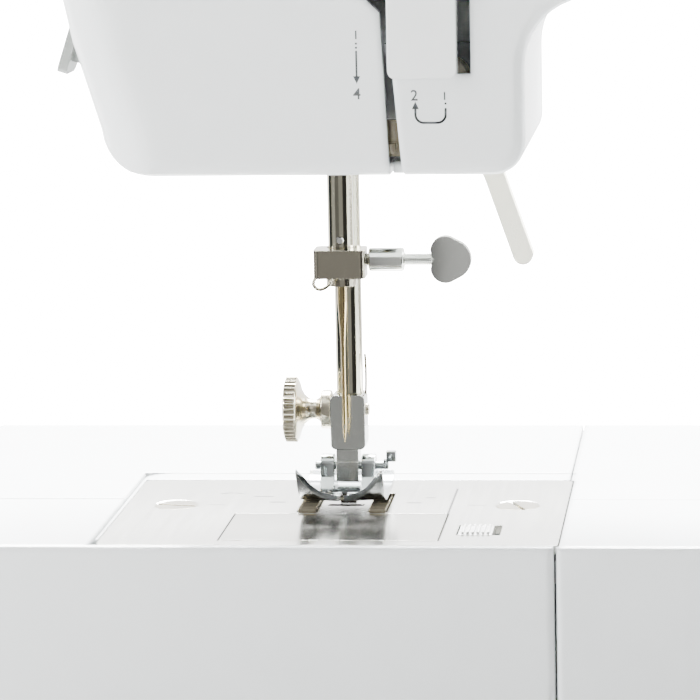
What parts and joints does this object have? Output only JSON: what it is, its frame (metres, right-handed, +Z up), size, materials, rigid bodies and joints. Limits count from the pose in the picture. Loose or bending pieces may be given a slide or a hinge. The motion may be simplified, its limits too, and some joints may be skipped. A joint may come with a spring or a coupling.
{
  "type": "sewing machine",
  "caption": "White free-arm household sewing machine with needle bar, presser foot, drop-in bobbin, sliding table and handwheel.",
  "frame": {"origin": "centre of the bounding box, at table level", "axes": "+X towards the handwheel, -Y towards the person sewing, +Z up"},
  "size_m": [0.388, 0.1626, 0.306],
  "materials": {
    "white_cover": "smooth glossy moulded plastic",
    "grey_plastic": "fine matte moulded plastic",
    "cream_plastic": "fine matte moulded plastic",
    "dark_plastic": "matte moulded plastic",
    "rubber": "moulded rubber",
    "chrome": "polished chrome plate",
    "steel": "ground steel",
    "nickel": "warm nickel plate",
    "cast_metal": "die cast, as cast",
    "clear_plastic": "clear glossy plastic",
    "motor_metal": "dark painted steel can"
  },
  "bodies": {
    "machine": {"front_cover": "white_cover", "rear_cover": "white_cover", "face_cover": "white_cover", "lamp_lens": "clear_plastic", "threading_tab": "white_cover", "lower_thread_guide": "nickel", "upper_thread_guide": "cast_metal", "thread_cutter": "grey_plastic", "arm_frame": "cast_metal", "base_plate": "grey_plastic", "rubber_foot_front_left": "rubber", "rubber_foot_front_right": "rubber", "rubber_foot_rear_left": "rubber", "rubber_foot_rear_right": "rubber", "free_arm_cover": "white_cover", "needle_plate": "chrome", "plate_screw_left": "steel", "plate_screw_right": "steel", "timing_belt": "rubber", "motor_belt": "rubber", "motor": "motor_metal", "bobbin_case": "dark_plastic", "presser_spring": "steel", "power_inlet": "dark_plastic"},
    "extension_table": {"extension_table": "white_cover", "table_foot_front": "rubber", "table_foot_rear": "rubber"},
    "main_shaft": {"main_shaft": "steel", "handwheel": "white_cover"},
    "needle_bar": {"needle_bar": "chrome", "connecting_rod": "cast_metal", "needle_clamp": "steel", "needle": "chrome"},
    "presser_bar": {"presser_bar": "chrome", "foot_holder": "chrome"},
    "bobbin_cover": {"bobbin_cover": "chrome"},
    "cover_latch": {"cover_latch": "dark_plastic"},
    "accessory_door": {"accessory_door": "white_cover"},
    "lower_shaft": {"lower_shaft": "steel"},
    "motor_pulley": {"motor_pulley": "steel"},
    "hook": {"hook": "steel"},
    "bobbin": {"bobbin": "clear_plastic"},
    "feed_bar": {"feed_bar": "cast_metal"},
    "feed_dog": {"feed_dog": "nickel"},
    "drop_feed_lever": {"drop_feed_lever": "grey_plastic"},
    "needle_bar_gate": {"needle_bar_gate": "cast_metal"},
    "needle_clamp_screw": {"needle_clamp_screw": "nickel"},
    "take_up_lever": {"take_up_lever": "chrome"},
    "lifter_lever": {"lifter_lever": "cream_plastic"},
    "foot_screw": {"foot_screw": "nickel"},
    "presser_foot": {"presser_foot": "chrome"},
    "tension_dial": {"tension_dial": "white_cover"},
    "pattern_dial": {"pattern_dial": "white_cover"},
    "length_dial": {"length_dial": "white_cover"},
    "reverse_lever": {"reverse_lever": "grey_plastic"},
    "winder_carriage": {"winder_carriage": "grey_plastic"},
    "winder_spindle": {"winder_spindle": "dark_plastic"},
    "spool_pin": {"spool_pin": "grey_plastic"},
    "carry_handle": {"carry_handle": "white_cover"},
    "power_switch": {"power_switch": "dark_plastic"}
  },
  "joints": [
    {"name": "main_shaft_turn", "type": "hinge", "parent": "machine", "child": "main_shaft", "pos_m": [0.173, -0.02705, 0.24], "axis": [1, 0, 0], "continuous": true},
    {"name": "lower_shaft_turn", "type": "hinge", "parent": "machine", "child": "lower_shaft", "pos_m": [-0.089, -0.02705, 0.037], "axis": [1, 0, 0], "continuous": true},
    {"name": "hook_turn", "type": "hinge", "parent": "machine", "child": "hook", "pos_m": [-0.089, -0.04245, 0.05], "axis": [0, 0, 1], "continuous": true},
    {"name": "motor_turn", "type": "hinge", "parent": "machine", "child": "motor_pulley", "pos_m": [0.162, -0.02365, 0.112], "axis": [1, 0, 0], "continuous": true},
    {"name": "bobbin_turn", "type": "hinge", "parent": "machine", "child": "bobbin", "pos_m": [-0.089, -0.04245, 0.0522], "axis": [0, 0, 1], "continuous": true},
    {"name": "bobbin_cover_lift", "type": "slide", "parent": "machine", "child": "bobbin_cover", "axis": [0, -0.9397, 0.342], "range_m": [0, 0.04]},
    {"name": "cover_latch_slide", "type": "slide", "parent": "machine", "child": "cover_latch", "axis": [1, 0, 0], "range_m": [0, 0.0015], "stiffness_N_per_m": 150, "springref_m": -0.0004},
    {"name": "table_slide", "type": "slide", "parent": "machine", "child": "extension_table", "axis": [-1, 0, 0], "range_m": [0, 0.17]},
    {"name": "door_hinge", "type": "hinge", "parent": "extension_table", "child": "accessory_door", "pos_m": [-0.089, -0.06565, 0.0068], "axis": [1, 0, 0], "range_deg": [0, 85]},
    {"name": "handle_hinge", "type": "hinge", "parent": "machine", "child": "carry_handle", "pos_m": [-0.065, -0.02565, 0.282], "axis": [-1, 0, 0], "range_deg": [0, 90]},
    {"name": "needle_bar_swing", "type": "hinge", "parent": "machine", "child": "needle_bar_gate", "pos_m": [-0.096, -0.02365, 0.276], "axis": [0, 1, 0], "range_deg": [-0.9, 0.9]},
    {"name": "needle_bar_slide", "type": "slide", "parent": "needle_bar_gate", "child": "needle_bar", "axis": [0, 0, 1], "range_m": [-0.033, 0]},
    {"name": "needle_clamp_screw_turn", "type": "hinge", "parent": "needle_bar", "child": "needle_clamp_screw", "pos_m": [-0.0826, -0.02365, 0.1298], "axis": [1, 0, 0], "range_deg": [0, 720]},
    {"name": "take_up_turn", "type": "hinge", "parent": "machine", "child": "take_up_lever", "pos_m": [-0.077, -0.01765, 0.226], "axis": [1, 0, 0], "range_deg": [0, 41]},
    {"name": "presser_bar_slide", "type": "slide", "parent": "machine", "child": "presser_bar", "axis": [0, 0, 1], "range_m": [-0.0009, 0.0045], "deforming": ["presser_spring"]},
    {"name": "lifter_turn", "type": "hinge", "parent": "machine", "child": "lifter_lever", "pos_m": [-0.064, 0.00475, 0.171], "axis": [0, -1, 0], "range_deg": [-4.5, 22.5]},
    {"name": "foot_screw_turn", "type": "hinge", "parent": "presser_bar", "child": "foot_screw", "pos_m": [-0.084, -0.01465, 0.093], "axis": [1, 0, 0], "range_deg": [0, 720]},
    {"name": "presser_foot_tilt", "type": "hinge", "parent": "presser_bar", "child": "presser_foot", "pos_m": [-0.089, -0.01665, 0.08], "axis": [-1, 0, 0], "range_deg": [0, 10]},
    {"name": "tension_dial_turn", "type": "hinge", "parent": "machine", "child": "tension_dial", "pos_m": [-0.015, -0.06735, 0.256], "axis": [0, -1, 0], "range_deg": [0, 320]},
    {"name": "pattern_dial_turn", "type": "hinge", "parent": "machine", "child": "pattern_dial", "pos_m": [0.124, -0.06735, 0.205], "axis": [0, -1, 0], "continuous": true},
    {"name": "length_dial_turn", "type": "hinge", "parent": "machine", "child": "length_dial", "pos_m": [0.124, -0.06735, 0.155], "axis": [0, -1, 0], "range_deg": [0, 300]},
    {"name": "reverse_slide", "type": "slide", "parent": "machine", "child": "reverse_lever", "axis": [0, 0, -1], "range_m": [0, 0.01], "stiffness_N_per_m": 120, "springref_m": -0.005},
    {"name": "winder_shift", "type": "slide", "parent": "machine", "child": "winder_carriage", "axis": [-1, 0, 0], "range_m": [0, 0.005]},
    {"name": "winder_turn", "type": "hinge", "parent": "winder_carriage", "child": "winder_spindle", "pos_m": [0.133, -0.02765, 0.29], "axis": [0, 0, 1], "continuous": true},
    {"name": "spool_pin_slide", "type": "slide", "parent": "machine", "child": "spool_pin", "axis": [0, 0, 1], "range_m": [0, 0.036]},
    {"name": "power_switch_rock", "type": "hinge", "parent": "machine", "child": "power_switch", "pos_m": [0.17, 0.01635, 0.036], "axis": [0, -1, 0], "range_deg": [0, 14]},
    {"name": "feed_bar_slide", "type": "slide", "parent": "machine", "child": "feed_bar", "axis": [0, 1, 0], "range_m": [0, 0.003]},
    {"name": "feed_dog_drop", "type": "slide", "parent": "feed_bar", "child": "feed_dog", "axis": [0, 0, 1], "range_m": [-0.0021, 0]},
    {"name": "drop_feed_slide", "type": "slide", "parent": "machine", "child": "drop_feed_lever", "axis": [1, 0, 0], "range_m": [0, 0.01]}
  ],
  "couplings": [
    {"joint": "lower_shaft_turn", "follows": "main_shaft_turn", "ratio": 1},
    {"joint": "hook_turn", "follows": "main_shaft_turn", "ratio": 2},
    {"joint": "motor_turn", "follows": "main_shaft_turn", "ratio": 3.3333},
    {"joint": "take_up_turn", "follows": "needle_bar_slide", "rad_per_m": -21.1},
    {"joint": "lifter_turn", "follows": "presser_bar_slide", "rad_per_m": 86.957},
    {"joint": "feed_dog_drop", "follows": "drop_feed_slide", "ratio": -0.2}
  ]
}
